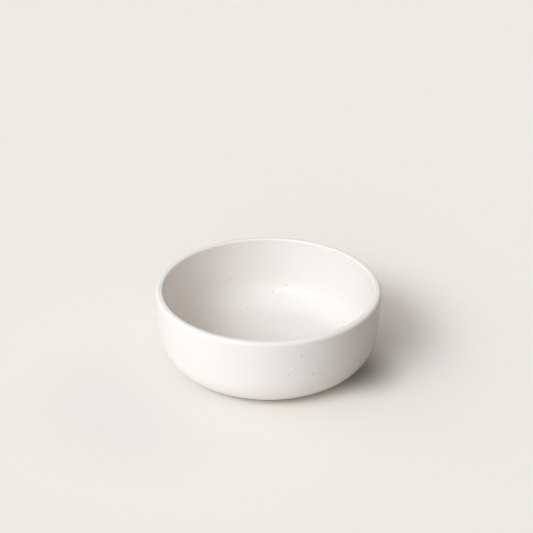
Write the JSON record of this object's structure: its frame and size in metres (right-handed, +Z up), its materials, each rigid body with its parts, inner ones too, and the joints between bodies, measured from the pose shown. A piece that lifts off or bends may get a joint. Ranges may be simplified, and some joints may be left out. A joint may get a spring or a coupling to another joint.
{
  "type": "cereal bowl",
  "caption": "Round stoneware cereal bowl with a near-upright wall, a deep rounded corner, a softly rounded lip and a low bare foot ring, in a satin off-white glaze with iron specks.",
  "frame": {"origin": "middle of the foot ring's bearing face, on the table", "axes": "+Z up along the axis of the bowl, -Y towards the viewer of the picture, +X to the viewer's right"},
  "size_m": [0.155, 0.155, 0.057],
  "materials": {
    "bare_stoneware": "bare fired clay, dry and slightly sandy",
    "inside_glaze": "satin off-white glaze, a little glossier than the outside",
    "outside_glaze": "satin off-white glaze",
    "iron_speck": "iron spot melted into the glaze"
  },
  "bodies": {
    "root": {"stoneware_body": "bare_stoneware", "inside_glaze": "inside_glaze", "outside_glaze": "outside_glaze", "underside_glaze": "outside_glaze", "inside_specks": "iron_speck", "outside_specks": "iron_speck", "underside_specks": "iron_speck"}
  },
  "joints": []
}
